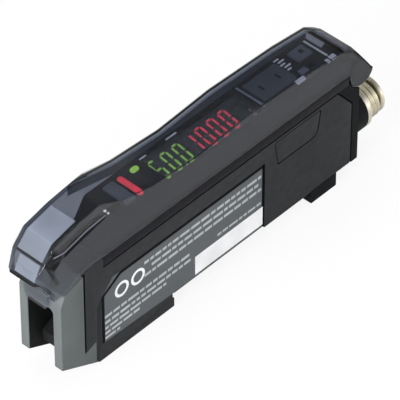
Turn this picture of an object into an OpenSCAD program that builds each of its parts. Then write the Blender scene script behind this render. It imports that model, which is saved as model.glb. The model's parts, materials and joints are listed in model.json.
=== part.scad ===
// Photoelectric sensor amplifier for a 35 mm mounting rail.
// X runs from the front (sensor head socket) to the rear (round cable connector), Y across the
// case from the label side to the far side, Z up. Sizes are laid out from the front face and
// from the underside of the foot, and place() then puts the origin at the centre of the rail seat.

/* [Case] */
// Width of the case, which is the pitch of ganged units
case_w = 9.8; // [9.6:0.1:11]
// Length of the case without the cable connector
case_len = 75.7; // [75.2:0.1:88]
// Height of the case side, from the foot to the top unit
case_h = 22.4; // [22:0.1:26]
// Wall thickness of the case mouldings
wall = 1.0; // [0.8:0.05:1.1]
// Depth of the shallow field in each case side
side_relief = 0.4; // [0.2:0.05:0.5]
// Thickness of the rear cap
cap_t = 1.7; // [1.4:0.1:2.4]

/* [Front block] */
// Visible length of the block that takes the sensor head's plug
block_len = 5.6; // [5:0.1:6.4]
// Height of the block's front face above the foot
block_h = 19.7; // [19:0.1:20.4]
// Width of the plug slot
slot_w = 6.0; // [5:0.1:6.4]
// Height of the slot's roof above the foot
slot_h = 18.3; // [17.8:0.1:18.6]

/* [Rail] */
// Width of the mounting rail
rail_w = 35; // [34.5:0.1:35.5]
// Length of the case behind the rail slot
tail_len = 12.6; // [12.2:0.1:13]
// Depth of the rail seat above the underside of the foot
rail_depth = 3.1; // [3:0.1:3.6]
// Travel of the sprung claw
claw_travel = 1.5; // [0.8:0.1:1.7]

/* [Top unit] */
// Height of the panel above the case side
panel_h = 7.4; // [7:0.1:8]
// Wall thickness of the panel moulding
panel_wall = 0.8; // [0.7:0.05:0.9]

/* [Dust cover] */
// Wall thickness of the cover
cover_t = 0.8; // [0.6:0.05:0.9]
// Width of the bevel along the long edges of the cover, across the case
cover_bevel = 1.3; // [1:0.1:1.6]
// How far that bevel drops down the side, along the cover and on its nose
bevel_drop = 0.3; // [0.2:0.05:0.8]
nose_drop = 1.8; // [1.4:0.1:2.4]
// Radius of the cheeks around the hinge
cheek_r = 3.1; // [2.8:0.1:3.2]
// Radius of the hinge stubs
stub_r = 0.8; // [0.6:0.05:0.85]

/* [Controls] */
// Travel of the push buttons
button_travel = 0.3; // [0.2:0.02:0.34]
// Length of the rocker along the case
rocker_len = 8.5; // [7.5:0.1:9]
// Travel of the output switch
switch_travel = 2.0; // [1.6:0.1:2.4]

/* [Display] */
// Height of a digit, across the case
digit_h = 5.2; // [4.4:0.1:5.4]
// Space between two digits
digit_gap = 0.9; // [0.7:0.05:1.1]
// Width of a lit segment
segment_w = 0.55; // [0.4:0.05:0.65]

/* [Cable connector] */
// Outer diameter of the thread
thread_d = 8; // [7.6:0.1:8.2]
// Diameter of the moulded boss behind the connector
boss_d = 9.2; // [8.9:0.1:9.4]
// Height of the connector's axis above the foot
connector_z = 10.3; // [10:0.1:11]
// Free length of the metal shell
shell_len = 5.3; // [5:0.1:8]

/* [Hidden] */
$fn = 48;
// Gap between pieces that slide past or drop into each other
play = 0.1;
// Groove that shows where two mouldings meet, across and into the side
seam_w = 0.3;
seam_d = 0.35;
// Overshoot of a cutting body past the face that it opens
over = 1;

// Across the case
half_w = case_w / 2;
plate_t = wall + play;
near_in = plate_t - half_w;
far_in = half_w - wall;

// Along the case
seam_x = block_len;
strip_x = seam_x + 2.8;
tongue_x = strip_x + 0.2;
inside_x = tongue_x + wall;
slot_end = tongue_x - 1.4;
cap_x = case_len - cap_t;
cap_slope = 4;
shoulder_x = seam_x + 4.8;
foot_x = case_len - tail_len - rail_w;
rail_end = foot_x + rail_w;
rail_mid = foot_x + rail_w / 2;
rail_lip = 0.4;
rail_grip = 1.2;
// The rail's seat stands proud of the underside on both sides of it
seat_step = 0.2;

// Up the case
strip_z = 5;
shoulder_z = case_h + 2;
cap_step_z = case_h - 4.9;
floor_z = rail_depth + wall;
foot_floor = wall;

// Rear hinge of the cover
hinge_x = case_len + 0.6;
hinge_z = case_h + 0.9;
hinge_play = 0.06;
stub_len = 0.9;
lug_wall = 0.45;

// Top unit
panel_hw = half_w - cover_t - play;
panel_in = panel_hw - panel_wall;
panel_z = case_h + panel_h;
ceiling_z = panel_z - 0.9;
panel_x = shoulder_x + play;
panel_end = hinge_x - cheek_r - 0.4;
strip_top = shoulder_z;

// Boards
board_t = 1.0;
board_y = 0.4;
board_x = [11.4, case_len - 6.9];
board_z = [floor_z + 1.2, case_h - 0.9];
deck_t = 0.8;
deck_top = case_h + 3.2;
deck_x = [17, case_len - 6.3];
deck_hw = panel_in - play;

// Controls, along the panel
set_x = 19.4;
set_size = [2.6, 5.6];
bar_x = 22.1;
bar_size = [1.1, 5.5];
lamp_at = [25.5, 2.2];
lamp_size = [1.7, 1.1];
rocker_x = case_len - 18.5;
window_x = [27.6, rocker_x - rocker_len / 2 - 1.55];
rocker_w = 5.4;
rocker_reach = 2.9;
rocker_tilt_play = 0.25;
mode_at = [case_len - 9.1, 1.3];
mode_size = [3.6, 3.0];
slider_at = [case_len - 12.1, -2.1];
slider_size = [1.8, 1.2];
tact_size = [2.6, 2.4, 0.8];
tact_pin = [0.6, 0.35];
press_gap = button_travel + 0.06;
cap_proud = 0.35;
flange_t = 0.5;

// Display
green_figures = [5, 0, 0];
red_figures = [1, 0, 0, 0];
figures = len(green_figures) + len(red_figures);
digit_pitch = (window_x[1] - window_x[0] - 3.5) / figures;
digit_w = digit_pitch - digit_gap;
green_x = window_x[0] + 1.7;
red_x = green_x + len(green_figures) * digit_pitch;
module_top = ceiling_z - 0.45;
segment_t = 0.15;
digit_slant = 0.12;

// Connector
boss_len = 3.3;
boss_end = case_len + boss_len;
shell_end = boss_end + shell_len;
collar_t = 1.0;
seal_t = 0.6;
neck_r = thread_d / 2 - 0.4;
mouth_r = thread_d / 2 - 0.75;
insert_r = mouth_r - 0.3;
pin_r = 0.5;
pin_circle = 1.6;
shell_x = cap_x - 2.6;

// Claw
claw_x = rail_end;
claw_len = 7.2;
stem_len = 3.2;
stem_hw = 1.9;
head_z = [floor_z + play, floor_z + 1.7];
spigot_x = cap_x - 1.4;
rib_x = spigot_x - play - wall;

// Moves the layout frame to the part's own origin, the centre of the rail seat
module place() translate([-rail_mid, 0, -rail_depth]) children();

// A side profile of [x, z] points, extruded across the case from y0 to y1
module slab(points, y0, y1)
    translate([0, y1, 0]) rotate([90, 0, 0]) linear_extrude(y1 - y0) polygon(points);

// A box between two corners
module box(low, high) translate(low) cube(high - low);

// A round bar across the case
module bar_y(x, z, r, y0, y1) translate([x, y1, z]) rotate([90, 0, 0]) cylinder(r = r, h = y1 - y0);

// A round bar along the case, on the connector's axis unless told otherwise
module bar_x(x0, x1, r, y = 0, z = connector_z)
    translate([x0, y, z]) rotate([0, 90, 0]) cylinder(r = r, h = x1 - x0);

// A block with rounded upright corners, centred at [x, y], between two heights
module pad(at, size, z0, z1, r = 0.3) {
    translate([at.x, at.y, z0]) linear_extrude(z1 - z0) union() {
        square([size.x - 2 * r, size.y], center = true);
        square([size.x, size.y - 2 * r], center = true);
        for (sx = [-1, 1], sy = [-1, 1])
            translate([sx * (size.x / 2 - r), sy * (size.y / 2 - r)]) circle(r = r, $fn = 24);
    }
}

// Unit normal of the edge from a to b, pointing to the left of its direction
function left_normal(a, b) = let (d = b - a) [-d.y, d.x] / norm(d);

// Where two lines cross that lie at distances da and db along their unit normals na and nb
function crossing(na, da, nb, db) = let (det = na.x * nb.y - na.y * nb.x)
    abs(det) < 0.02 ? na * da : [da * nb.y - db * na.y, na.x * db - nb.x * da] / det;

// A closed outline, counter-clockwise, with edge i moved inwards by gaps[i]
function inset(points, gaps) = [for (i = [0:len(points) - 1]) let (
    n = len(points),
    back = (i + n - 1) % n,
    before = left_normal(points[back], points[i]),
    after = left_normal(points[i], points[(i + 1) % n]))
    points[i] + crossing(before, gaps[back], after, gaps[i])];

// The same inset on every edge
function even_inset(points, gap) = inset(points, [for (p = points) gap]);

// Two triangles for a face with four corners
function halves(q) = [[q[0], q[1], q[2]], [q[0], q[2], q[3]]];

// Index of the point from low to high that lies nearest to x
function nearest(points, x, low, high) = let (away = [for (i = [low:high]) abs(points[i].x - x)])
    low + search(min(away), away)[0];

// Triangles that fill a side profile: a fan about a hub from point fan_from round to point 1, and
// the rest between the top, up to point walls, and the lower edge, up to fan_from
function side_faces(points, walls, fan_from, hub) = let (
    n = len(points),
    apex = [fan_from, for (i = [1:walls - 2])
        nearest(points, (points[i].x + points[i + 1].x) / 2, walls, fan_from), walls])
    concat([for (i = [fan_from:n - 1]) [i, (i + 1) % n, hub]], [[0, 1, hub], [1, fan_from, hub]],
        [for (i = [1:walls - 2]) [i, i + 1, apex[i]]],
        [for (i = [1:walls - 1]) for (low = [apex[i] + 1:1:apex[i - 1]]) [i, low - 1, low]]);

// A face seen from its other side, with its corners shifted along the list of points
function turned(face, shift) = [for (i = [len(face) - 1:-1:0]) face[i] + shift];
function moved(face, shift) = [for (i = face) i + shift];

// A thin shell across the case, between an outer and an inner loft of side profiles with equal
// numbers of points. The first edges of each profile are walls, and the rest is left open
module shell_y(outer, outer_ys, inner, inner_ys, walls, hub, fan_from) {
    rows = len(outer);
    last = rows - 1;
    // Each row of points ends with the hub
    n = len(outer[0]);
    step = n + 1;
    inside = rows * step;
    points = concat([for (k = [0:last]) for (p = concat(outer[k], [hub])) [p.x, outer_ys[k], p.y]],
        [for (k = [0:last]) for (p = concat(inner[k], [hub])) [p.x, inner_ys[k], p.y]]);
    sides = [for (k = [0:last - 1]) for (i = [0:walls - 1]) let (
        a = k * step + i, b = a + step, q = [a, a + 1, b + 1, b])
        each concat(halves(q), halves(turned(q, inside)))];
    ends = [for (k = [0:last - 1]) let (a = k * step, b = a + step)
        each concat(halves([a, b, inside + b, inside + a]),
            halves([b + walls, a + walls, inside + a + walls, inside + b + walls]))];
    rims = [for (i = [walls:n - 1]) let (j = (i + 1) % n, q = [i, j, inside + j, inside + i])
        each concat(halves(q), halves(turned(q, last * step)))];
    outer_sides = side_faces(outer[0], walls, fan_from, n);
    inner_sides = side_faces(inner[0], walls, fan_from, n);
    caps = concat([for (f = outer_sides) turned(f, 0)], [for (f = outer_sides) moved(f, last * step)],
        [for (f = inner_sides) moved(f, inside)], [for (f = inner_sides) turned(f, inside + last * step)]);
    polyhedron(points = points, faces = concat(sides, ends, rims, caps), convexity = 6);
}

// Case side seen from the label side, without the rear cap
case_outline = [
    [seam_x, strip_z], [strip_x, strip_z + 1.1], [strip_x, 1], [strip_x + 1, 0], [foot_x, 0],
    [foot_x, rail_depth - rail_grip], [foot_x - rail_lip, rail_depth - rail_grip],
    [foot_x - rail_lip, rail_depth + seat_step], [foot_x, rail_depth + seat_step], [foot_x, rail_depth],
    [rail_end, rail_depth], [rail_end, rail_depth + seat_step], [cap_x, rail_depth + seat_step],
    [cap_x, cap_step_z],
    [cap_x - cap_slope, case_h], [shoulder_x, case_h], [shoulder_x, shoulder_z - 0.4],
    [shoulder_x - 0.4, shoulder_z], [seam_x + 1.4, shoulder_z], [seam_x, shoulder_z - 0.6]];

// Room inside the case
case_room = [
    [inside_x, foot_floor + 1], [inside_x + 1, foot_floor],
    [foot_x - rail_lip - wall, foot_floor], [foot_x - rail_lip - wall, floor_z],
    [cap_x + over, floor_z], [cap_x + over, cap_step_z - 1.4], [cap_x, cap_step_z - 1.4],
    [cap_x - cap_slope - 1.4, case_h], [cap_x - cap_slope - 1.4, case_h + over + 2],
    [inside_x, case_h + over + 2]];

// Shallow field that the label lies in
field_end = foot_x + 22.8;
field_outline = [
    [strip_x + 0.15, -over], [field_end, -over], [field_end, case_h - 3.9],
    [seam_x + 6.9, case_h - 3.9], [seam_x + 3.7, case_h - 7.5], [strip_x + 0.15, case_h - 8.6]];

// Grooves that the sides show, as a path and a depth: at the block, at the rear cap and under the
// top unit, and inside the edge of the field
seams = [
    [[[seam_x, shoulder_z - 0.6], [seam_x, strip_z + 0.4]], seam_d],
    [[[cap_x, rail_depth + seat_step], [cap_x, cap_step_z], [cap_x - cap_slope, case_h],
        [shoulder_x, case_h]], seam_d],
    [[[field_end, rail_depth + seat_step], [field_end, case_h - 3.9], [seam_x + 6.9, case_h - 3.9],
        [seam_x + 3.7, case_h - 7.5], [strip_x + 0.15, case_h - 8.6], [strip_x + 0.15, 1]],
        side_relief + 0.25]];

// Where two unit normals n and m turn a path, the step that shifts both of its edges by d
function corner(n, m, d) = (n + m) * d / (1 + n * m);

// A groove along a path on both sides of the case, to the left of its direction
module groove(path, depth) {
    last = len(path) - 1;
    normals = [for (i = [0:last - 1]) left_normal(path[i], path[i + 1])];
    band = concat(path, [for (i = [last:-1:0])
        path[i] + corner(normals[max(i - 1, 0)], normals[min(i, last - 1)], seam_w)]);
    slab(band, -half_w - over, depth - half_w);
    slab(band, half_w - depth, half_w + over);
}

// Cover over the side connector for ganged units
port_x = case_len - 22.4;
port_outline = [
    [port_x + 0.9, case_h - 6.5], [port_x + 9.8, case_h - 6.5], [port_x + 10.9, case_h - 6.2],
    [port_x + 11.5, case_h - 5.5], [port_x + 12.2, case_h - 1.2], [port_x + 11.8, case_h - 0.8],
    [port_x + 0.3, case_h - 0.8], [port_x, case_h - 1.2]];
port_depth = 0.6;
port_ledge = 0.5;

// Sinks the side connector's opening and its ledge into a case side
module port_cut(face_y, inner_y) {
    step = face_y > inner_y ? face_y - port_depth : face_y + port_depth;
    slab(port_outline, min(face_y, step) - (face_y < inner_y ? over : 0),
        max(face_y, step) + (face_y > inner_y ? over : 0));
    slab(even_inset(port_outline, port_ledge), min(step, inner_y) - over / 2, max(step, inner_y) + over / 2);
}

// Clears the side of a piece for the cover's cheek, outside the hinge lug
module cheek_clearance(side)
    bar_y(hinge_x, hinge_z, cheek_r + 0.15, side < 0 ? -half_w - over : panel_hw,
        side < 0 ? -panel_hw : half_w + over);

// Posts that carry the main board, as [x, z]
board_posts = [[15.5, 9], [38, 9], [case_len - 14.7, 9]];
post_r = 1.1;
peg_r = 0.4;

module main_case() color("#2c2e30") place() {
    difference() {
        slab(case_outline, near_in, half_w);
        slab(case_room, near_in - over, far_in);
        // Pocket for the front block's tongue
        box([seam_x - over, near_in - over, strip_z + 2], [tongue_x, far_in, block_h + 1]);
        socket_window(tongue_x - over, inside_x + over);
        // The plug slot runs on below the tongue
        box([seam_x - over, -slot_w / 2, 0], [slot_end, slot_w / 2, strip_z + 2 + over]);
        // Slot for the claw's stem, open to the label side for assembly
        box([claw_x + 1.3, near_in - over, rail_depth - over],
            [claw_x + 1.5 + stem_len + claw_travel + play, stem_hw + play, floor_z + over]);
        slab(field_outline, half_w - side_relief, half_w + over);
        port_cut(half_w, far_in);
        cheek_clearance(1);
        for (s = seams) groove(s[0], s[1]);
    }
    for (p = board_posts) {
        bar_y(p.x, p.y, post_r, board_y + board_t, far_in + 0.2);
        bar_y(p.x, p.y, peg_r, board_y + 0.2, board_y + board_t);
    }
    // Stop for the claw's spring
    box([rib_x, near_in, floor_z - 0.2], [rib_x + wall, far_in + 0.2, floor_z + 2]);
}

module side_plate() color("#2c2e30") place() {
    difference() {
        slab(case_outline, -half_w, near_in);
        slab(field_outline, -half_w - over, side_relief - half_w);
        port_cut(-half_w, near_in);
        cheek_clearance(-1);
        for (s = seams) groove(s[0], s[1]);
    }
    // Pegs that clamp the main board on its posts
    for (p = board_posts) difference() {
        bar_y(p.x, p.y, post_r, near_in - 0.2, board_y);
        bar_y(p.x, p.y, peg_r + hinge_play, board_y - 0.6, board_y + over);
    }
}

// Window that the head socket passes through on its way to the main board
module socket_window(x0, x1) box([x0, -1.6, 7.4], [x1, 1.6, 16.6]);

module front_block() color("#6c7073") place() difference() {
    union() {
        slab([[0, strip_z], [strip_x, 0.9], [strip_x, strip_z + 1.1], [seam_x, strip_z],
            [seam_x, shoulder_z - 1.1], [1, case_h - 0.5], [0, block_h]], -half_w, half_w);
        box([seam_x - over, near_in + play, strip_z + 2 + play],
            [tongue_x, far_in - play, block_h + 1 - play]);
    }
    // Plug slot, open to the front and below, with its roof corners rounded
    difference() {
        box([-over, -slot_w / 2, -over], [slot_end, slot_w / 2, slot_h]);
        for (side = [-1, 1]) difference() {
            box([-2 * over, min(side * slot_w / 2, side * (slot_w / 2 - 1)), slot_h - 1],
                [tongue_x, max(side * slot_w / 2, side * (slot_w / 2 - 1)), slot_h + over]);
            bar_x(-3 * over, tongue_x + over, 1, side * (slot_w / 2 - 1), slot_h - 1);
        }
    }
    socket_window(slot_end - 0.5, tongue_x + over);
}

module head_socket() color("#3d4042") place() difference() {
    union() {
        slab([[slot_end, 3.4], [slot_end, slot_h - 1.2], [slot_end - 1.2, slot_h - 1.2],
            [slot_end - 1.2, 9], [slot_end - 4, 7.6], [slot_end - 4, 5.2]],
            play - slot_w / 2, slot_w / 2 - play);
        box([slot_end - 0.1, -1.5, 7.5], [inside_x + 0.6, 1.5, 16.5]);
    }
    for (z = contact_rows) bar_x(-over, inside_x + 2, contact_r + 0.03, 0, z);
}

contact_rows = [8.6, 10.8, 13, 15.2];
contact_r = 0.3;
contact_tip = slot_end - 2.8;

module head_contacts() color("#c9a54c") place()
    for (z = contact_rows) bar_x(contact_tip, board_x[0] + 0.8, contact_r, 0, z);

module rear_cap() color("#2a2c2e") place() difference() {
    union() {
        difference() {
            slab([[cap_x, rail_depth], [case_len, rail_depth], [case_len, case_h - 1.6],
                [case_len - 0.6, case_h], [cap_x - cap_slope, case_h], [cap_x, cap_step_z]],
                -half_w, half_w);
            cheek_clearance(1);
            cheek_clearance(-1);
        }
        // Spigot inside the case
        box([spigot_x, near_in + play, floor_z + play], [cap_x + 0.5, far_in - play, cap_step_z - 1.6]);
        bar_x(case_len - 0.5, boss_end, boss_d / 2);
        // Lug that the cover hangs on
        bar_y(hinge_x, hinge_z, stub_r + hinge_play + lug_wall, -panel_hw, panel_hw);
        slab([[hinge_x - 2.9, case_h - 0.3], [hinge_x - 1.2, case_h - 1], [hinge_x - 0.2, hinge_z - 1.25],
            [hinge_x, hinge_z], [hinge_x - 0.65, hinge_z + 1.1]], -panel_hw, panel_hw);
    }
    bar_x(cap_x - 3, boss_end + over, neck_r + 0.03);
    bar_x(boss_end - seal_t, boss_end + over, neck_r + seal_t);
    bar_y(hinge_x, hinge_z, stub_r + hinge_play, -half_w, half_w);
}

module top_panel() color("#1d1f22") place() difference() {
    union() {
        slab([[panel_x, case_h], [panel_end, case_h], [panel_end, strip_top], [panel_x + 0.4, strip_top],
            [panel_x, strip_top - 0.4]], -half_w, half_w);
        difference() {
            slab([[panel_x + 0.6, strip_top - 0.5], [panel_end - 0.2, strip_top - 0.5],
                [panel_end - 0.2, panel_z - 3.2], [panel_end - 2.4, panel_z], [panel_x + 4.6, panel_z]],
                -panel_hw, panel_hw);
            slab([[panel_x + 2.1, case_h - over], [panel_end - 1.2, case_h - over],
                [panel_end - 1.2, panel_z - 3.6], [panel_end - 3, ceiling_z], [panel_x + 5.2, ceiling_z],
                [panel_x + 2.1, strip_top + 1]], -panel_in, panel_in);
        }
        // Posts that carry the display board, and the ridge behind the window
        for (at = deck_posts) translate([at.x, at.y, deck_top])
            cylinder(r = 0.55, h = ceiling_z - deck_top + 0.2);
        box([window_x[1] + 0.5, 0.3 - panel_hw, panel_z - 0.2],
            [window_x[1] + 1.1, panel_hw - 0.3, panel_z + 0.35]);
    }
    // The strip is hollow too
    box([panel_x + 2.1, -panel_in, case_h - over], [panel_end - 1.2, panel_in, strip_top]);
    pad([set_x, 0], set_size + [2, 2] * play, ceiling_z - over, panel_z + over);
    pad([bar_x, 0], bar_size + [2, 2] * play, ceiling_z - over, panel_z + over, 0.5);
    pad(lamp_at, lamp_size + [2, 2] * play, ceiling_z - over, panel_z + over, 0.4);
    pad([(window_x[0] + window_x[1]) / 2, 0], [window_x[1] - window_x[0], 2 * window_hw], panel_z - 0.5,
        panel_z + over, 0.4);
    pad([(window_x[0] + window_x[1]) / 2, 0], [window_x[1] - window_x[0] - 1, 2 * window_hw - 0.8],
        ceiling_z - over, panel_z);
    pad([rocker_x, 0], [rocker_len, rocker_w] + [2, 2] * rocker_tilt_play, ceiling_z - over, panel_z + over);
    pad(mode_at, mode_size + [2, 2] * play, ceiling_z - over, panel_z + over);
    pad(slider_at + [switch_travel / 2, 0], slider_size + [switch_travel, 0] + [2, 2] * play,
        ceiling_z - over, panel_z + over);
    for (side = [-1, 1]) bar_y(rocker_x, rocker_z, rocker_pin_r + hinge_play,
        side < 0 ? -panel_in - 0.55 : panel_in - over, side < 0 ? over - panel_in : panel_in + 0.55);
}

window_hw = panel_in + 0.3;
deck_posts = [[24.1, -1.8], [24.1, 0], [case_len - 12.8, 2.2], [case_len - 12.8, 0.4]];
rocker_z = ceiling_z - 1.0;
rocker_pin_r = 0.45;

// Outer side profile of the closed cover, counter-clockwise: up the rear slope, along the top,
// down the nose, back along the lower edge and round the hinge cheek
nose = [-4.2, case_h + 4.2];
cover_outline = concat(
    [[hinge_x + 3.1, hinge_z - 0.7], [hinge_x + 0.5, hinge_z + 3.1], [hinge_x - 1.7, panel_z - 0.4],
    [hinge_x - 4.9, panel_z + 1.6], [hinge_x - 13.3, panel_z + 2.5], [46.8, panel_z + 3.1],
    [34, panel_z + 2.25], [22.4, panel_z + 3.1], [11.4, panel_z + 5.6], [6.4, panel_z + 5],
    [0.5, panel_z + 3.6],
    nose + [1.8, 3.7], nose, [-1.1, case_h - 0.2], [0.9, case_h - 0.2], [4, case_h + 1.3],
    [6.6, strip_top + play], [hinge_x - cheek_r - 0.3, strip_top + play]],
    [for (a = [205:15:330]) [hinge_x, hinge_z] + cheek_r * [cos(a), sin(a)]]);
// The first edges run up the rear slope, the next along the top and down the nose, then comes
// the nose's underside, and the rest is the open lower edge
rear_edges = 2;
nose_edges = 8;
top_edges = 12;
wall_edges = 13;
arc_from = 18;
function cover_gaps(rear, top, nose, wall) = [for (i = [0:len(cover_outline) - 1])
    i < rear_edges ? rear : i < nose_edges ? top : i < top_edges ? nose : i < wall_edges ? wall : 0];

// The front corners of the nose are cut off, seen from above: how far along and across
nose_cut = [1.9, 2.3];
function nose_limit(y, gap) = nose.x + (abs(y) - half_w + nose_cut.y) * nose_cut.x / nose_cut.y
    + gap * norm(nose_cut) / nose_cut.y;

// Side profile of one skin of the cover at y: how far it lies inside the outer profile, and how
// far it drops on the rear slope, along the top and on the nose
function cover_profile(y, gap, drops = [0, 0, 0]) =
    [for (p = inset(cover_outline, cover_gaps(gap + drops[0], gap + drops[1], gap + drops[2], gap)))
        [max(p.x, nose_limit(y, gap)), p.y]];

// Drop of the inner skin's bevel that keeps the wall even along an outer bevel
function inner_drop(drop) = drop * (1 - cover_t / cover_bevel)
    + cover_t * (norm([drop, cover_bevel]) / cover_bevel - 1);

// The same with the rear wall's lower end lifted to a height, clear of the cap when the cover is up
function lifted(profile, z) = let (a = profile[0], b = profile[1])
    [a + (b - a) * (z - a.y) / (b.y - a.y), for (i = [1:len(profile) - 1]) profile[i]];

module dust_cover() color("#4a4f5a", 0.45) place() {
    inner_w = half_w - cover_t;
    inner_bevel = cover_bevel - 0.7 * cover_t;
    tip = half_w - nose_cut.y;
    outer_y = [half_w, half_w - cover_bevel, tip];
    inner_y = [inner_w, inner_w - inner_bevel, tip - 0.1];
    outer = [cover_profile(outer_y[0], 0, [0.5, bevel_drop, nose_drop]), cover_profile(outer_y[1], 0),
        cover_profile(outer_y[2], 0)];
    foot_z = hinge_z - 0.6;
    inner_drops = [0, inner_drop(bevel_drop), inner_drop(nose_drop)];
    inner = [lifted(cover_profile(inner_y[0], cover_t, inner_drops), foot_z),
        lifted(cover_profile(inner_y[1], cover_t), foot_z), lifted(cover_profile(inner_y[2], cover_t), foot_z)];
    mirrored = [0, 1, 2, 2, 1, 0];
    sign = [-1, -1, -1, 1, 1, 1];
    shell_y([for (k = mirrored) outer[k]], [for (i = [0:5]) sign[i] * outer_y[mirrored[i]]],
        [for (k = mirrored) inner[k]], [for (i = [0:5]) sign[i] * inner_y[mirrored[i]]],
        wall_edges, [hinge_x, hinge_z], arc_from - 1);
    for (side = [-1, 1]) bar_y(hinge_x, hinge_z, stub_r,
        side < 0 ? cover_t - half_w - 0.2 : half_w - cover_t - stub_len,
        side < 0 ? cover_t - half_w + stub_len : half_w - cover_t + 0.2);
    // Finger tab in front of the block
    translate([-1.1, 0, 0]) rotate([90, 0, 90]) linear_extrude(cover_t)
        polygon([[-2.2, 18.9], [2.2, 18.9], [2.9, 19.8], [2.9, case_h], [-2.9, case_h], [-2.9, 19.8]]);
}

module display_window() color("#23262e", 0.6) place()
    pad([(window_x[0] + window_x[1]) / 2, 0],
        [window_x[1] - window_x[0] - play, 2 * window_hw - play], panel_z - 0.5, panel_z, 0.35);

// A light guide: head in the panel, flange under it and a leg down to its diode
module light_guide(at, size, leg) {
    pad(at, size, ceiling_z - 0.2, panel_z + 0.12, min(size) / 2 - 0.05);
    pad(at, size + [0.7, 0.7], ceiling_z - flange_t, ceiling_z, 0.3);
    pad(at, leg, led_top, ceiling_z - flange_t + 0.1, 0.2);
}
led_h = 0.6;
led_top = deck_top + led_h;

module red_light_bar() color("#e0505c") place() light_guide([bar_x, 0], bar_size, [0.8, 2.4]);
module green_lamp() color("#9ac464") place() light_guide(lamp_at, lamp_size, [0.9, 0.9]);
module indicator_leds() color("#e8e6da") place() {
    pad([bar_x, 0], [0.9, 1.8], deck_top, led_top, 0.1);
    pad(lamp_at, [1, 1], deck_top, led_top, 0.1);
}

// A push button: cap through the panel, flange that holds it in, stem down to its switch
module push_button(at, size) {
    pad(at, size, ceiling_z - 0.3, panel_z + cap_proud);
    pad(at, size + [0.7, 0.4], ceiling_z - 0.05 - flange_t, ceiling_z - 0.05);
    translate([at.x, at.y, tact_top + press_gap])
        cylinder(r = 0.8, h = ceiling_z - flange_t - tact_top - press_gap);
}
tact_top = deck_top + tact_size.z + tact_pin[1];

module set_button() color("#5b5f63") place() push_button([set_x, 0], set_size);
module mode_button() color("#585c60") place() push_button(mode_at, mode_size);

module rocker_button() color("#55585d") place() {
    difference() {
        pad([rocker_x, 0], [rocker_len, rocker_w], ceiling_z - 0.1, panel_z + cap_proud + 0.2, 0.5);
        // Dished top that guides a fingertip to either end
        for (side = [-1, 1]) bar_y(rocker_x + side * rocker_len / 4, panel_z + cap_proud + 6.1, 6,
            -half_w, half_w);
    }
    box([rocker_x - 0.9, 0.3 - rocker_w / 2, rocker_z - 0.6],
        [rocker_x + 0.9, rocker_w / 2 - 0.3, ceiling_z]);
    bar_y(rocker_x, rocker_z, rocker_pin_r, -panel_in - 0.45, panel_in + 0.45);
    for (side = [-1, 1]) translate([rocker_x + side * rocker_reach, 0, tact_top + press_gap])
        cylinder(r = 0.8, h = ceiling_z - tact_top - press_gap);
}

module switch_knob() color("#6a6d72") place() {
    pad(slider_at, slider_size, ceiling_z - 0.3, panel_z + 0.3, 0.25);
    pad(slider_at, slider_size + [0.7, 0.4], ceiling_z - 0.05 - flange_t, ceiling_z - 0.05, 0.25);
    pad(slider_at, [0.9, 0.9], slider_base_top + 0.05, ceiling_z - flange_t, 0.2);
}
slider_base_top = deck_top + 1.4;

module switch_base() color("#b9bcc0") place()
    pad(slider_at + [switch_travel / 2, 0.1], [slider_size.x + switch_travel + 0.6, slider_size.y + 0.2],
        deck_top, slider_base_top, 0.2);

module tact_switches() color("#d8d4c8") place()
    for (at = [[set_x, 0], [rocker_x - rocker_reach, 0], [rocker_x + rocker_reach, 0], mode_at]) {
        pad(at, [tact_size.x, tact_size.y], deck_top, deck_top + tact_size.z, 0.2);
        translate([at.x, at.y, deck_top]) cylinder(r = tact_pin[0], h = tact_size.z + tact_pin[1]);
    }

module display_board() color("#1f5a35") place()
    box([deck_x[0], -deck_hw, deck_top - deck_t], [deck_x[1], deck_hw, deck_top]);

module main_board() color("#1f5a35") place() difference() {
    box([board_x[0], board_y, board_z[0]], [board_x[1], board_y + board_t, board_z[1]]);
    // Corner cleared for the claw and its spring, and holes for the posts' pegs
    box([claw_x - 1.5, board_y - over, board_z[0] - over],
        [board_x[1] + over, board_y + board_t + over, head_z[1] + 0.6]);
    for (p = board_posts) bar_y(p.x, p.y, peg_r + hinge_play, board_y - over, board_y + board_t + over);
}

// Segments of a digit, as [centre x, centre y, upright]
stroke = min(segment_w, digit_w / 3);
row = (digit_h - stroke) / 2;
column = (digit_w - stroke) / 2;
segment_gap = 0.12;
segment_spots = [[0, row, false], [column, row / 2, true], [column, -row / 2, true], [0, -row, false],
    [-column, -row / 2, true], [-column, row / 2, true], [0, 0, false]];
// Which segments are lit for each figure, in the order of segment_spots
lit = [[1, 1, 1, 1, 1, 1, 0], [0, 1, 1, 0, 0, 0, 0], [1, 1, 0, 1, 1, 0, 1], [1, 1, 1, 1, 0, 0, 1],
    [0, 1, 1, 0, 0, 1, 1], [1, 0, 1, 1, 0, 1, 1], [1, 0, 1, 1, 1, 1, 1], [1, 1, 1, 0, 0, 0, 0],
    [1, 1, 1, 1, 1, 1, 1], [1, 1, 1, 1, 0, 1, 1]];

// One segment: a bar with pointed ends
module segment(upright) {
    reach = ((upright ? row : 2 * column) - segment_gap) / 2;
    tip = stroke / 2;
    rotate(upright ? 90 : 0) polygon([[-reach, 0], [tip - reach, tip], [reach - tip, tip],
        [reach, 0], [reach - tip, -tip], [tip - reach, -tip]]);
}

// The segments of one figure whose lit state is the one asked for
module digit(x, figure, state)
    translate([x, 0, module_top]) linear_extrude(segment_t)
        multmatrix([[1, digit_slant, 0, 0], [0, 1, 0, 0], [0, 0, 1, 0], [0, 0, 0, 1]])
            for (i = [0:6]) if (lit[figure][i] == state)
                translate([segment_spots[i][0], segment_spots[i][1]]) segment(segment_spots[i][2]);

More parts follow.
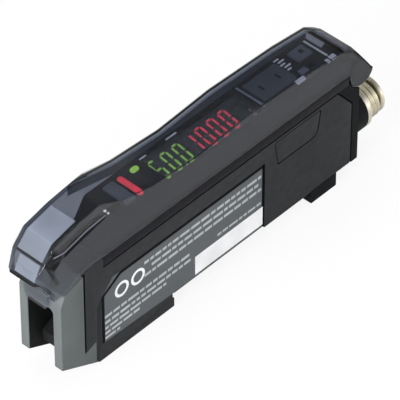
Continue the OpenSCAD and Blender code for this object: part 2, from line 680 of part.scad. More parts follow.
module green_digits() color("#9adf6a") place() {
    for (i = [0:len(green_figures) - 1]) digit(green_x + i * digit_pitch, green_figures[i], 1);
    translate([green_x + 1.5 * digit_pitch - 0.1, 0.3 - digit_h / 2, module_top])
        cylinder(r = 0.28, h = segment_t);
}
module red_digits() color("#f0485c") place()
    for (i = [0:len(red_figures) - 1]) digit(red_x + i * digit_pitch, red_figures[i], 1);
module unlit_segments() color("#34343a") place() {
    for (i = [0:len(green_figures) - 1]) digit(green_x + i * digit_pitch, green_figures[i], 0);
    for (i = [0:len(red_figures) - 1]) digit(red_x + i * digit_pitch, red_figures[i], 0);
}

module display_modules() color("#18191c") place()
    for (span = [[green_x - 1.6, red_x - 1.7], [red_x - 1.6, red_x + 3.55 * digit_pitch]])
        box([span[0], -digit_h / 2 - 0.2, deck_top], [span[1], digit_h / 2 + 0.2, module_top]);

// Strip of pins between the two boards
module board_header() color("#202124") place() {
    difference() {
        box([31, board_y - 2.6, case_h - 1.6], [45, board_y, deck_top - deck_t]);
        box([30, board_y - 2, case_h - 1.6 - over], [46, board_y - 0.6, case_h - 0.4]);
    }
}

module control_chip() color("#191a1c") place()
    box([42, board_y - 1.2, 10], [50, board_y, port_mid.y - 1.6]);

// Small parts on both faces of the main board
module chip_parts() color("#3a3430") place() {
    for (x = [18, 22.5, 27]) box([x, board_y - 0.9, 13], [x + 3, board_y, 16.2]);
    for (x = [20, 30, 46, 52]) box([x, board_y + board_t, 11], [x + 2, board_y + board_t + 1.1, 15]);
    for (x = [53, 57]) translate([x, board_y, 12.4]) rotate([90, 0, 0]) cylinder(r = 1.5, h = 2.6);
}

module power_coil() color("#56483a") place() translate([33, board_y, 12]) rotate([90, 0, 0]) union() {
    cylinder(r = 2.6, h = 0.5);
    cylinder(r = 1.9, h = 2.4);
    translate([0, 0, 2.1]) cylinder(r = 2.6, h = 0.5);
}

// Side connectors that join ganged units: a socket behind the near cover, pins behind the far one
port_mid = [port_x + 5.9, case_h - 3.4];
module expansion_socket() color("#e4ddc8") place() difference() {
    box([port_mid.x - 4, near_in + 0.3, port_mid.y - 1.4], [port_mid.x + 4, board_y, port_mid.y + 1.4]);
    for (i = [-2:2]) box([port_mid.x + i * 1.4 - 0.35, near_in - over, port_mid.y - 0.5],
        [port_mid.x + i * 1.4 + 0.35, near_in + 2, port_mid.y + 0.5]);
}
module expansion_pins() color("#caa64e") place() for (i = [-2:2])
    box([port_mid.x + i * 1.4 - 0.25, board_y + board_t, port_mid.y - 0.3],
        [port_mid.x + i * 1.4 + 0.25, far_in - 0.2, port_mid.y + 0.3]);

port_fit = 0.2;
module port_cover_near() color("#2f3133") place()
    slab(even_inset(port_outline, port_fit), -half_w, port_depth - half_w);
module port_cover_far() color("#2f3133") place()
    slab(even_inset(port_outline, port_fit), half_w - port_depth, half_w);

module side_label() color("#5a5e61") place()
    slab([[10, 4], [foot_x - 0.1, rail_depth + 0.3], [field_end - seam_w - play, rail_depth + 0.3],
        [field_end - seam_w - play, case_h - 4.3], [seam_x + 7.1, case_h - 4.3], [10, case_h - 7.3]],
        side_relief - half_w - 0.1, side_relief - half_w);

module connector_shell() color("#c8c4b4") place() rotate_x_profile([
    [shell_x, neck_r], [boss_end, neck_r], [boss_end, boss_d / 2], [boss_end + collar_t, boss_d / 2],
    [boss_end + collar_t, thread_d / 2], [shell_end - 0.3, thread_d / 2], [shell_end, thread_d / 2 - 0.3],
    [shell_end, mouth_r], [boss_end + 0.8, mouth_r], [boss_end + 0.8, insert_r + 0.03],
    [shell_x, insert_r + 0.03]]);

// A revolve about the connector's axis from [x, radius] points
module rotate_x_profile(points) translate([0, 0, connector_z]) rotate([0, 90, 0])
    rotate_extrude($fn = 64) polygon([for (p = points) [p[1], p[0]]]);

module connector_insert() color("#26282a") place() difference() {
    bar_x(shell_x - 0.6, boss_end + 1.2, insert_r);
    for (a = pin_angles) bar_x(shell_x - 2, boss_end + 2, pin_r + 0.03, pin_circle * cos(a),
        connector_z + pin_circle * sin(a));
}
pin_angles = [45, 135, 225, 315];
module connector_pins() color("#d2ab55") place()
    for (a = pin_angles) bar_x(shell_x - 1.9, shell_end - 0.8, pin_r, pin_circle * cos(a),
        connector_z + pin_circle * sin(a));

module connector_seal() color("#151515") place() rotate_x_profile([
    [boss_end - seal_t, neck_r + 0.03], [boss_end - seal_t, neck_r + seal_t - 0.03],
    [boss_end, neck_r + seal_t - 0.03], [boss_end, neck_r + 0.03]]);

module din_claw() color("#2b2d2f") place() {
    // Hook that grips the rail's edge, with a ramp below it
    slab([[claw_x + 0.5, 0], [claw_x + claw_len, 0], [claw_x + claw_len, rail_depth - play],
        [claw_x + rail_lip, rail_depth - play], [claw_x + rail_lip, rail_depth - rail_grip],
        [claw_x, rail_depth - rail_grip], [claw_x, 0.7]], play - half_w, half_w - play);
    // Stem through the case floor, and the head that slides on it
    box([claw_x + 1.4, -stem_hw, rail_depth - 0.5], [claw_x + 1.4 + stem_len, stem_hw, floor_z + 0.5]);
    box([claw_x + 0.8, near_in + 0.4, head_z[0]], [claw_x + 2 + stem_len, far_in - 0.4, head_z[1]]);
}

// Compression spring behind the claw's head, a helix along the case
spring_r = 0.75;
spring_wire = 0.2;
spring_turns = 5;
spring_sides = 6;
spring_steps = 14;
spring_x = [claw_x + 2 + stem_len + spring_wire, rib_x - spring_wire];
module claw_spring() color("#b8bcc0") place() {
    count = spring_turns * spring_steps;
    rings = [for (k = [0:count]) let (a = 360 * k / spring_steps,
        x = spring_x[0] + (spring_x[1] - spring_x[0]) * k / count)
        [for (s = [0:spring_sides - 1]) let (b = 360 * s / spring_sides,
            r = spring_r + spring_wire * cos(b))
            [x + spring_wire * sin(b), r * cos(a), floor_z + 1.05 + r * sin(a)]]];
    sides = [for (k = [0:count - 1]) for (s = [0:spring_sides - 1]) let (t = (s + 1) % spring_sides)
        [k * spring_sides + s, k * spring_sides + t, (k + 1) * spring_sides + t, (k + 1) * spring_sides + s]];
    near = [for (s = [spring_sides - 1:-1:0]) s];
    far = [for (s = [0:spring_sides - 1]) count * spring_sides + s];
    polyhedron(points = [for (r = rings) each r], faces = concat(sides, [near, far]), convexity = 8);
}

main_case();
side_plate();
front_block();
rear_cap();
top_panel();
dust_cover();
display_window();
red_light_bar();
green_lamp();
set_button();
rocker_button();
mode_button();
switch_knob();
switch_base();
tact_switches();
display_board();
main_board();
display_modules();
green_digits();
red_digits();
unlit_segments();
indicator_leds();
board_header();
control_chip();
chip_parts();
power_coil();
head_socket();
head_contacts();
expansion_socket();
expansion_pins();
port_cover_near();
port_cover_far();
connector_shell();
connector_insert();
connector_pins();
connector_seal();
din_claw();
claw_spring();
side_label();
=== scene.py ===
# %% [markdown]
# Photoelectric sensor amplifier: a slim black case on a mounting rail, with a grey block at the
# front, a smoked dust cover over its display and buttons, and a threaded metal connector behind.
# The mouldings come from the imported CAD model. This lesson gives them rounded edges and real
# finishes, cuts the thread, prints the label and the panel, and lights the whole.

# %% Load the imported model
import bpy
import json
import math
import random
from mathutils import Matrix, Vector


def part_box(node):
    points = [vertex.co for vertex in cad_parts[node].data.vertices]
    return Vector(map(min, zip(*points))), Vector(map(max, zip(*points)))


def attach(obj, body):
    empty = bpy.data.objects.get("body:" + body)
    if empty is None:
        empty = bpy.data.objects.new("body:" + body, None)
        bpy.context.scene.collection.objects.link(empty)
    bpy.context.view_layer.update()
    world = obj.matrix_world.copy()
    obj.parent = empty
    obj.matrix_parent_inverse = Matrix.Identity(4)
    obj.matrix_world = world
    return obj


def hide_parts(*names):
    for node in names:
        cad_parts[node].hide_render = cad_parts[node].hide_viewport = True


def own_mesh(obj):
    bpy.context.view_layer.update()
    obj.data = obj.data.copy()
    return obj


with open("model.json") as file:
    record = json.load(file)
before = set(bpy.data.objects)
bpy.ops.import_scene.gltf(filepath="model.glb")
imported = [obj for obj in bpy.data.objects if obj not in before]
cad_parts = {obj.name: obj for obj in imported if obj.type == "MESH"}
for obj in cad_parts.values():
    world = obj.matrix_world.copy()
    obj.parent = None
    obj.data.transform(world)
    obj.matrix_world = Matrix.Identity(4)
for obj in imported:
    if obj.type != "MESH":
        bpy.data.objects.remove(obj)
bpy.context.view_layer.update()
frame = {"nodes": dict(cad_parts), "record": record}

# %% [markdown]
# Sizes are easiest to read as a designer lays them out: in millimetres, along the case from its
# front face, across it from the middle plane, and up from the underside of the foot. Blender
# works in metres about the centre of the rail seat, so one function turns the first into the
# second, and everything below goes through it. Two more turn the corners of a CAD box back.

# %% Layout sizes
MM = 0.001
RAIL_MIDDLE = 45.6
RAIL_DEPTH = 3.1


def spot(x, y, z):
    """A place in metres from millimetres along, across and up the case."""
    return Vector(((x - RAIL_MIDDLE) * MM, y * MM, (z - RAIL_DEPTH) * MM))


def mm_along(x):
    """Millimetres along the case from Blender's x."""
    return x / MM + RAIL_MIDDLE


def mm_up(z):
    """Millimetres above the foot from Blender's z."""
    return z / MM + RAIL_DEPTH


window_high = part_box("display_window")[1]
PANEL_TOP = mm_up(window_high.z)
print("panel top", round(PANEL_TOP, 2))

# %% [markdown]
# The photograph looks down on the label side from the front. A long lens far away keeps the
# case's edges nearly parallel, as they are there. The camera is aimed at a point on the middle
# plane that lies at the centre of the picture, from an azimuth and an elevation.

# %% Camera
AZIMUTH, ELEVATION = math.radians(-47.16), math.radians(43.3)
LENS = 363
DISTANCE = 0.70
aim = spot(39.5, 0, 14.5)
back = Vector((math.sin(AZIMUTH) * math.cos(ELEVATION),
               -math.cos(AZIMUTH) * math.cos(ELEVATION), math.sin(ELEVATION)))
camera_data = bpy.data.cameras.new("camera")
camera_data.lens = LENS
camera_data.sensor_width = 36
camera_data.clip_start = 0.01
camera = bpy.data.objects.new("camera", camera_data)
bpy.context.collection.objects.link(camera)
camera.location = aim + back * DISTANCE
camera.rotation_mode = "QUATERNION"
camera.rotation_quaternion = (-back).to_track_quat("-Z", "Y")
bpy.context.scene.camera = camera
print("camera at", [round(v, 3) for v in camera.location])

# %% [markdown]
# A moulded piece is never one flat colour. Its tool was spark-eroded, which leaves a fine grain,
# and the pigment and the gloss drift a little from place to place. Three noises on Object
# coordinates do that: a slow one moves the colour, a middle one the roughness, and a fine one
# drives the bump. The same recipe with other numbers serves every plastic, rubber and metal here.

# %% Material helpers
NOISE_LOW, NOISE_HIGH = 0.3, 0.7
DRIFT, DRIFT_SIZE = 0.08, 0.006


def tone(red, green, blue):
    """A linear colour from the 0 to 255 values that a screen shows."""
    parts = [v / 255 for v in (red, green, blue)]
    return tuple(v / 12.92 if v <= 0.04045 else ((v + 0.055) / 1.055) ** 2.4 for v in parts) + (1,)


class Finish:
    """A material under construction, with short calls that add and join its nodes."""

    def __init__(self, name):
        self.material = bpy.data.materials.new(name)
        self.material.use_nodes = True
        self.nodes = self.material.node_tree.nodes
        self.links = self.material.node_tree.links
        self.shader = self.nodes["Principled BSDF"]
        self.place = self.nodes.new("ShaderNodeTexCoord").outputs["Object"]

    def add(self, kind, settings=None, **inputs):
        """A new node; an input may be a value or another node's output."""
        node = self.nodes.new("ShaderNode" + kind)
        for key, value in (settings or {}).items():
            setattr(node, key, value)
        for key, value in inputs.items():
            socket = node.inputs[key.replace("_", " ")]
            if isinstance(value, bpy.types.NodeSocket):
                self.links.new(value, socket)
            else:
                socket.default_value = value
        return node

    def noise(self, size, detail=2.0):
        """Cloudy noise whose patches are about size metres across."""
        cloud = self.add("TexNoise", Vector=self.place, Scale=1 / size, Detail=detail)
        return cloud.outputs["Fac"]

    def span(self, value, low, high):
        """The noise stretched to run from low to high."""
        node = self.add("MapRange", Value=value, From_Min=NOISE_LOW, From_Max=NOISE_HIGH,
                        To_Min=low, To_Max=high)
        return node.outputs["Result"]

    def drift(self, colour):
        """The colour, a little darker and lighter in slow patches."""
        ramp = self.add("ValToRGB", Fac=self.noise(DRIFT_SIZE))
        dark, light = ramp.color_ramp.elements
        dark.color = tuple(v * (1 - DRIFT) for v in colour[:3]) + (1,)
        light.color = tuple(min(1, v * (1 + DRIFT)) for v in colour[:3]) + (1,)
        dark.position, light.position = NOISE_LOW, NOISE_HIGH
        self.links.new(ramp.outputs["Color"], self.shader.inputs["Base Color"])

    def gloss(self, low, high, size=0.0015):
        """Roughness that wanders between two values."""
        self.links.new(self.span(self.noise(size), low, high), self.shader.inputs["Roughness"])

    def bump(self, height, depth):
        """Relief that is depth metres deep."""
        node = self.add("Bump", Height=height, Distance=depth, Strength=1.0)
        self.links.new(node.outputs["Normal"], self.shader.inputs["Normal"])

    def set(self, **sockets):
        """Plain values on the shader's own sockets."""
        for key, value in sockets.items():
            self.shader.inputs[key.replace("_", " ")].default_value = value
        return self


def moulded(name, colour, rough, grain=0.00016, depth=0.000006, **sockets):
    """Moulded or turned stuff: drifting colour and gloss with a fine grain."""
    finish = Finish(name)
    finish.drift(colour)
    finish.gloss(rough - 0.05, rough + 0.05)
    finish.bump(finish.noise(grain), depth)
    return finish.set(**sockets).material


# %% [markdown]
# Most finishes differ only in their numbers, so a table gives them: the case's black ABS, the
# paler block, the printed panel, the pale and dark strips that paint light and shade in the cover,
# the inner parts, the metals, and the inks. A low specular level stands for a mould texture too
# fine to model.

# %% Plain finishes
recipes = {
    "case_black": dict(colour=tone(33, 35, 37), rough=0.5, Specular_IOR_Level=0.3),
    "block_grey": dict(colour=tone(85, 90, 90), rough=0.5, depth=0.000008),
    "cap_black": dict(colour=tone(19, 21, 22), rough=0.55, Specular_IOR_Level=0.1),
    "panel_black": dict(colour=tone(22, 22, 27), rough=0.5, depth=0.000004,
                        Specular_IOR_Level=0.15),
    "button_grey": dict(colour=tone(102, 105, 114), rough=0.5),
    "rocker_slate": dict(colour=tone(66, 70, 80), rough=0.5),
    # painted light: pale strips that brighten the nose's facets
    "painted_grip_light": dict(colour=tone(158, 160, 162), rough=0.6, grain=0.00012, depth=0.00001),
    "painted_flat_light": dict(colour=tone(212, 213, 215), rough=0.6, grain=0.00012, depth=0.00001),
    # painted shade: the dark strips along the cover's edges
    "painted_edge_shade": dict(colour=tone(12, 13, 17), rough=0.7, depth=0.000003, Specular_IOR_Level=0.1),
    # painted light: the paler tone of the far wall seen through the top
    "painted_wall_light": dict(colour=tone(92, 97, 106), rough=0.5, Specular_IOR_Level=0.2),
    "seam_black": dict(colour=tone(10, 10, 11), rough=0.7, Specular_IOR_Level=0.1),
    "part_cream": dict(colour=tone(216, 210, 192), rough=0.45),
    "board_green": dict(colour=tone(30, 84, 50), rough=0.35, grain=0.0006, depth=0.00001),
    "chip_black": dict(colour=tone(34, 35, 37), rough=0.6),
    "segment_dark": dict(colour=tone(58, 56, 64), rough=0.5),
    "coil_brown": dict(colour=tone(96, 72, 50), rough=0.4, grain=0.0003, depth=0.00002),
    "socket_grey": dict(colour=tone(16, 17, 18), rough=0.6, Specular_IOR_Level=0.2),
    "seal_rubber": dict(colour=tone(26, 26, 27), rough=0.7),
    "contact_gold": dict(colour=tone(214, 176, 96), rough=0.28, Metallic=1.0),
    "shell_nickel": dict(colour=tone(250, 242, 222), rough=0.3, depth=0.000002, Metallic=0.8),
    # painted shade at the bottom of the thread's grooves
    "painted_groove_shade": dict(colour=tone(92, 84, 62), rough=0.5, depth=0.000003, Metallic=1.0),
    "spring_steel": dict(colour=tone(190, 192, 194), rough=0.3, Metallic=1.0),
    "label_grey": dict(colour=tone(84, 89, 92), rough=0.42, grain=0.0002, depth=0.000002),
    "print_white": dict(colour=tone(242, 242, 243), rough=0.55, grain=0.0001, depth=0.000003),
    "print_dim": dict(colour=tone(128, 132, 142), rough=0.4, grain=0.0001, depth=0.000003),
    "print_grey": dict(colour=tone(178, 182, 184), rough=0.55, grain=0.0001, depth=0.000003),
}
finishes = {name: moulded(name, **recipe) for name, recipe in recipes.items()}
print("plain finishes", len(finishes))

# %% [markdown]
# The dust cover and the display window are smoked polycarbonate. The smoke is in the plastic, so
# it is a volume that absorbs light by the length of the path: a wall that is looked through is
# grey, and one that is looked along goes nearly black. The two faces of a thin wall bend light
# there and back again, so little of it shows: the body has an IOR near 1, and a coat on top of it
# gives the gloss of real plastic. Light from a lamp has to reach the panel underneath, which
# plain glass would block, so for shadow rays the shader is swapped for a Transparent one.

# %% Smoked plastic
POLISH = 0.03
BODY_IOR, COAT_IOR = 1.06, 1.55


def smoked(name, smoke, density, ripple, ripple_depth, coat=1.0):
    """Clear plastic with smoke in its body and its gloss in a coat."""
    finish = Finish(name)
    finish.set(Base_Color=(1, 1, 1, 1), Transmission_Weight=1.0, IOR=BODY_IOR,
               Coat_Weight=coat, Coat_IOR=COAT_IOR, Coat_Roughness=POLISH)
    finish.gloss(POLISH, POLISH + 0.04, 0.004)
    finish.bump(finish.noise(ripple, 1.0), ripple_depth)
    clear = finish.add("BsdfTransparent", Color=(0.96, 0.96, 0.96, 1))
    path = finish.add("LightPath")
    mix = finish.add("MixShader", Fac=path.outputs["Is Shadow Ray"])
    finish.links.new(finish.shader.outputs["BSDF"], mix.inputs[1])
    finish.links.new(clear.outputs["BSDF"], mix.inputs[2])
    output = finish.nodes["Material Output"]
    finish.links.new(mix.outputs["Shader"], output.inputs["Surface"])
    inside = finish.add("VolumeAbsorption", Color=smoke, Density=density)
    finish.links.new(inside.outputs["Volume"], output.inputs["Volume"])
    return finish.material


for name, coat in (("cover_smoke", 1.0), ("slope_smoke", 0.1), ("bevel_smoke", 0.45)):
    finishes[name] = smoked(name, (0.0, 0.065, 0.19, 1), 780, 0.006, 0.00003, coat)
finishes["window_smoke"] = smoked("window_smoke", (0.0, 0.0, 0.1, 1), 300, 0.01, 0.00001)
print("with smoked plastic", len(finishes))

# %% [markdown]
# The red bar, the green lamp and the figures are lit from behind. Their moulding spreads the
# light, so the glow is a touch stronger in the middle of each patch than at its edges; noise on
# the emission does that without any lamp.

# %% Lit plastic
GLOW_LOW, GLOW_HIGH = 0.8, 1.15


def lit(name, body, glow, strength):
    """Plastic that glows in its own colour."""
    finish = Finish(name)
    finish.set(Base_Color=body, Emission_Color=glow)
    finish.gloss(0.3, 0.4)
    finish.bump(finish.noise(0.0003), 0.000004)
    power = finish.span(finish.noise(0.0009), strength * GLOW_LOW, strength * GLOW_HIGH)
    finish.links.new(power, finish.shader.inputs["Emission Strength"])
    return finish.material


finishes["lamp_red"] = lit("lamp_red", tone(150, 30, 40), tone(255, 66, 88), 1.25)
finishes["lamp_green"] = lit("lamp_green", tone(90, 130, 50), tone(178, 236, 96), 1.1)
print("lit plastic", finishes["lamp_red"].name, finishes["lamp_green"].name)

# %% [markdown]
# Every CAD node names its finish in the record, so the nodes that stay are dressed in one loop.

# %% Dress the CAD nodes
slots = {entry["node"]: entry["material_slot"] for entry in frame["record"]["subparts"]}
for node, slot in slots.items():
    mesh = frame["nodes"][node].data
    mesh.materials.clear()
    mesh.materials.append(finishes[slot])
print("dressed", len(slots), "nodes")

# %% [markdown]
# Operators act on whatever is selected, so a helper selects one object and nothing else. Two more
# hold the pairs of calls that nearly every mesh here needs: merge the points that lie on one
# another, and turn all faces outwards. A finished piece has its place in its mesh, so its object
# is at the origin. It names the body that carries it and its finish.

# %% Modelling helpers
SAME_PLACE = 0.000002
SMOOTH_ANGLE = math.radians(30)


def only(piece):
    """Selects one object and nothing else."""
    bpy.ops.object.select_all(action="DESELECT")
    piece.hide_set(False)
    piece.select_set(True)
    bpy.context.view_layer.objects.active = piece


def merge_points():
    """Merges points of the edited mesh that lie on one another."""
    bpy.ops.mesh.select_all(action="SELECT")
    bpy.ops.mesh.remove_doubles(threshold=SAME_PLACE)


def face_outwards():
    """Turns the faces of the edited mesh outwards."""
    bpy.ops.mesh.select_all(action="SELECT")
    bpy.ops.mesh.normals_make_consistent(inside=False)


def finish_piece(piece, body, finish):
    """Smooths and dresses a finished piece, and attaches it to its body."""
    only(piece)
    bpy.ops.object.transform_apply(location=True, rotation=True, scale=True)
    bpy.ops.object.shade_smooth_by_angle(angle=SMOOTH_ANGLE)
    piece.data.materials.clear()
    piece.data.materials.append(finishes[finish])
    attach(piece, body)
    print(piece.name, "triangles", sum(len(f.vertices) - 2 for f in piece.data.polygons))
    return piece


# %% [markdown]
# Mouldings have no knife edges: the tool is cut with a small radius, and that radius is what
# catches the light along every edge in the photograph. Each large moulding is therefore copied,
# its loose triangles are merged into one skin, flat faces are joined up again, and a Bevel
# modifier rounds what is sharper than 25 degrees. A bevel on the finished form is quicker and
# truer here than modelling the same form a second time.

# %% Rounding helpers
FLAT_ANGLE, EDGE_ANGLE = math.radians(0.5), math.radians(25)


def skin(node, name):
    """A copy of a CAD node as one skin of whole flat faces, left in edit mode."""
    only(frame["nodes"][node])
    bpy.ops.object.duplicate()
    piece = bpy.context.view_layer.objects.active
    piece.name = name
    bpy.ops.object.mode_set(mode="EDIT")
    merge_points()
    bpy.ops.mesh.dissolve_limited(angle_limit=FLAT_ANGLE)
    return piece


def rounded(node, name, body, radius, segments=2, finish=None):
    """A copy of a CAD node with rounded edges, in its place."""
    piece = skin(node, name)
    bpy.ops.object.mode_set(mode="OBJECT")
    bevel = piece.modifiers.new("round", "BEVEL")
    bevel.width = radius
    bevel.segments = segments
    bevel.limit_method = "ANGLE"
    bevel.angle_limit = EDGE_ANGLE
    bpy.ops.object.modifier_apply(modifier="round")
    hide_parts(node)
    finish_piece(piece, body, slots[node])
    if finish:
        piece.data.materials[0] = finishes[finish]
    return piece


# %% [markdown]
# The radius grows with the wall. The thin lids and the panel get the smallest one, and the thick
# block at the front the largest, in three steps because it is seen close. The rocker shares its
# slot in the record with the keys, but it is bluer and darker, so it gets its own finish here.

# %% Rounded mouldings
far_half = rounded("main_case", "far_case_half", "case", 0.15 * MM)
near_half = rounded("side_plate", "near_case_half", "case", 0.15 * MM)
head_block = rounded("front_block", "head_block", "case", 0.45 * MM, 3)
rounded("rear_cap", "rear_end", "case", 0.2 * MM)
rounded("top_panel", "panel", "case", 0.12 * MM)
rounded("port_cover_near", "near_port_lid", "case", 0.12 * MM)
rounded("port_cover_far", "far_port_lid", "case", 0.12 * MM)
rounded("din_claw", "rail_claw", "claw", 0.15 * MM)
rounded("set_button", "set_key_cap", "set_key", 0.15 * MM)
rounded("mode_button", "mode_key_cap", "mode_key", 0.15 * MM)
rounded("rocker_button", "rocker_cap", "rocker", 0.15 * MM, finish="rocker_slate")

# %% [markdown]
# The joint lines of the case read as black lines, because no light gets out of a groove. Their
# faces, and the rounds beside them, lie a little inside the flat of each side, so they are picked
# by that and get a finish of their own.

# %% Dark joint lines
HALF_WIDTH = 4.9
GROOVE, NEARLY = 0.38, 0.02


def picked(piece, finish, wanted):
    """Gives another finish to the faces that wanted says yes to."""
    piece.data.materials.append(finishes[finish])
    faces = [face for face in piece.data.polygons if wanted(face)]
    for face in faces:
        face.material_index = len(piece.data.materials) - 1
    print(piece.name, finish, "faces", len(faces))


for half in (near_half, far_half):
    picked(half, "seam_black", lambda face: (
        (HALF_WIDTH - GROOVE) * MM < abs(face.center.y) < (HALF_WIDTH - NEARLY) * MM))

# %% [markdown]
# The slot for the sensor head's plug is dark inside: its inner faces are picked by their place
# too and given a dark finish, painted shade.

# %% Painted shade in the slot
SLOT_HALF, SLOT_TOP, SLOT_MOUTH = 3.0, 18.3, 0.5
# painted shade on the inner faces of the slot
picked(head_block, "socket_grey", lambda face: (
    abs(face.center.y) < (SLOT_HALF + NEARLY) * MM
    and face.center.x > spot(SLOT_MOUTH, 0, 0).x
    and face.center.z < spot(0, 0, SLOT_TOP + NEARLY).z))

# %% [markdown]
# A lit segment looks thinner than its mould, because its edges are masked. A copy of each set of
# figures is shrunk a little along its normals, which leaves dark gaps between the strokes.

# %% Slim figures
MASK = 0.06 * MM


def slimmed(node, name, amount):
    """A copy of a CAD node with every face moved inwards by amount."""
    piece = skin(node, name)
    bpy.ops.transform.shrink_fatten(value=-amount, use_even_offset=True)
    bpy.ops.object.mode_set(mode="OBJECT")
    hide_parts(node)
    return finish_piece(piece, "case", slots[node])


slimmed("green_digits", "green_figures", MASK)
slimmed("red_digits", "red_figures", MASK)

# %% [markdown]
# The claw's spring closes up its turns as the claw is pulled, and it pushes against a rib. Its
# copy keeps its shape, rides on the case, and gets a mesh of its own.

# %% Claw spring
spring = slimmed("claw_spring", "claw_coil", 0)
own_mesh(spring)

# %% [markdown]
# The cover gets the same treatment as the mouldings. It is clear and glossy, so its flats have to
# mirror as flats right up to the rounds: a Weighted Normal modifier turns the corners' normals
# to the larger faces.

# %% Rounded cover
cover = rounded("dust_cover", "smoked_cover", "cover", 0.2 * MM)
flats = cover.modifiers.new("flats", "WEIGHTED_NORMAL")
flats.weight = 100
flats.keep_sharp = True
only(cover)
bpy.ops.object.modifier_apply(modifier="flats")
print("cover box", [round(v, 4) for v in cover.dimensions])

# %% [markdown]
# The rear slope and the near bevel of the nose face the bright horizon and would mirror it, but
# on the real cover they are nearly black. Their faces get the same smoke under a fainter coat.

# %% Faces that mirror less
SLOPE_START = spot(71.6, 0, 0).x
NOSE_BEVEL_END = spot(15.7, 0, 0).x
LEAN = 0.3
picked(cover, "slope_smoke", lambda face: face.center.x > SLOPE_START and face.normal.x > LEAN)
picked(cover, "bevel_smoke", lambda face: (
    face.center.x < NOSE_BEVEL_END and face.normal.y < -LEAN and face.normal.z > LEAN))

# %% [markdown]
# The connector is turned metal. A lathe does it: the outline is drawn with single points, each
# extruded from the last, then spun about the connector's axis, merged where it closes, and its
# normals recalculated.

# %% Lathe
AXIS_HEIGHT = 10.3
axis_point = spot(0, 0, AXIS_HEIGHT)


def drawn(name, places):
    """An open line through places, extruded point by point and left in edit mode."""
    bpy.ops.object.select_all(action="DESELECT")
    bpy.ops.mesh.primitive_plane_add(size=MM, location=(0, 0, 0))
    piece = bpy.context.view_layer.objects.active
    piece.name = name
    bpy.ops.object.mode_set(mode="EDIT")
    bpy.ops.mesh.select_all(action="SELECT")
    bpy.ops.mesh.merge(type="CENTER")
    bpy.ops.transform.translate(value=places[0])
    for before, after in zip(places, places[1:]):
        bpy.ops.mesh.extrude_region_move(TRANSFORM_OT_translate={"value": after - before})
    return piece


def above_axis(outline):
    """Places for (along, radius) points, straight above the connector's axis."""
    return [spot(x, 0, AXIS_HEIGHT + radius) for x, radius in outline]


def lathe(name, outline, steps=64):
    """A closed outline spun round the connector's axis."""
    piece = drawn(name, above_axis(outline + outline[:1]))
    merge_points()
    bpy.ops.mesh.spin(steps=steps, angle=math.tau, center=axis_point, axis=(1, 0, 0))
    merge_points()
    face_outwards()
    bpy.ops.object.mode_set(mode="OBJECT")
    return piece


# %% [markdown]
# The shell is a collar, a relief groove, the core of the thread and a chamfered mouth. The core
# is 0.58 mm below the crest of the thread.

# %% Connector shell
shell_low, shell_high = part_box("connector_shell")
SHELL_START, SHELL_END = mm_along(shell_low.x), mm_along(shell_high.x)
BOSS_END = 79.0
THREAD_START, THREAD_END = BOSS_END + 1.12, SHELL_END - 0.75
CREST, CORE, NECK, COLLAR = 4.0, 3.42, 3.6, 4.6
MOUTH, WAIST, BORE = 3.86, 3.25, 2.98
shell = lathe("threaded_shell", [
    (SHELL_START, NECK), (BOSS_END, NECK),
    (BOSS_END, COLLAR - 0.1), (BOSS_END + 0.1, COLLAR),
    (BOSS_END + 0.9, COLLAR), (BOSS_END + 1.0, COLLAR - 0.1), (BOSS_END + 1.0, 3.75),
    (THREAD_START, CORE), (THREAD_END, CORE), (SHELL_END - 0.6, MOUTH),
    (SHELL_END - 0.15, MOUTH), (SHELL_END, 3.72), (SHELL_END, 3.3), (SHELL_END - 0.08, WAIST),
    (BOSS_END + 0.8, WAIST), (BOSS_END + 0.8, BORE), (SHELL_START, BORE)])
print("shell from", round(SHELL_START, 2), "to", round(SHELL_END, 2))

# %% [markdown]
# The thread is a true helix of one millimetre a turn. Its ridge is drawn the same way, with
# flanks that lean at about 30 degrees as on a metric thread, and the Screw modifier carries it
# round and along at once. The ridge reaches a little into the core, so no gap shows between them.

# %% Thread
PITCH = 1.0
ROOT, CREST_HALF, ROOT_HALF = CORE - 0.1, 0.08, 0.42
ridge_middle = BOSS_END + 1.35
turns = math.floor((THREAD_END - ridge_middle) / PITCH)
thread = drawn("thread_ridge", above_axis([
    (ridge_middle - ROOT_HALF, ROOT), (ridge_middle - CREST_HALF, CREST),
    (ridge_middle + CREST_HALF, CREST), (ridge_middle + ROOT_HALF, ROOT),
    (ridge_middle - ROOT_HALF, ROOT)]))
merge_points()
bpy.ops.object.mode_set(mode="OBJECT")
screw = thread.modifiers.new("screw", "SCREW")
screw.axis = "X"
screw.angle = math.tau * turns
screw.screw_offset = PITCH * MM * turns
screw.steps = screw.render_steps = 48 * turns
only(thread)
bpy.context.scene.cursor.location = axis_point
bpy.ops.object.origin_set(type="ORIGIN_CURSOR")
bpy.ops.object.modifier_apply(modifier="screw")
bpy.ops.object.mode_set(mode="EDIT")
merge_points()
bpy.ops.mesh.fill_holes(sides=8)
bpy.ops.mesh.normals_make_consistent(inside=False)
bpy.ops.object.mode_set(mode="OBJECT")
print("thread turns", turns)

# %% [markdown]
# Shell and thread become one piece. The core's faces between the collar and the mouth are picked
# by their radius for a darker, duller metal: painted shade at the bottom of the grooves.

# %% Threaded shell
GROOVE_FLOOR = 3.3
only(shell)
thread.select_set(True)
bpy.ops.object.join()
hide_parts("connector_shell")
finish_piece(shell, "case", "shell_nickel")


def in_groove(face):
    """Whether a face of the shell is at the bottom of the thread."""
    radius = math.hypot(face.center.y, face.center.z - axis_point.z)
    return (GROOVE_FLOOR * MM < radius < (CORE + 0.03) * MM
            and spot(THREAD_START, 0, 0).x < face.center.x < spot(SHELL_END - 0.7, 0, 0).x)


# painted shade at the bottom of the thread's grooves
picked(shell, "painted_groove_shade", in_groove)
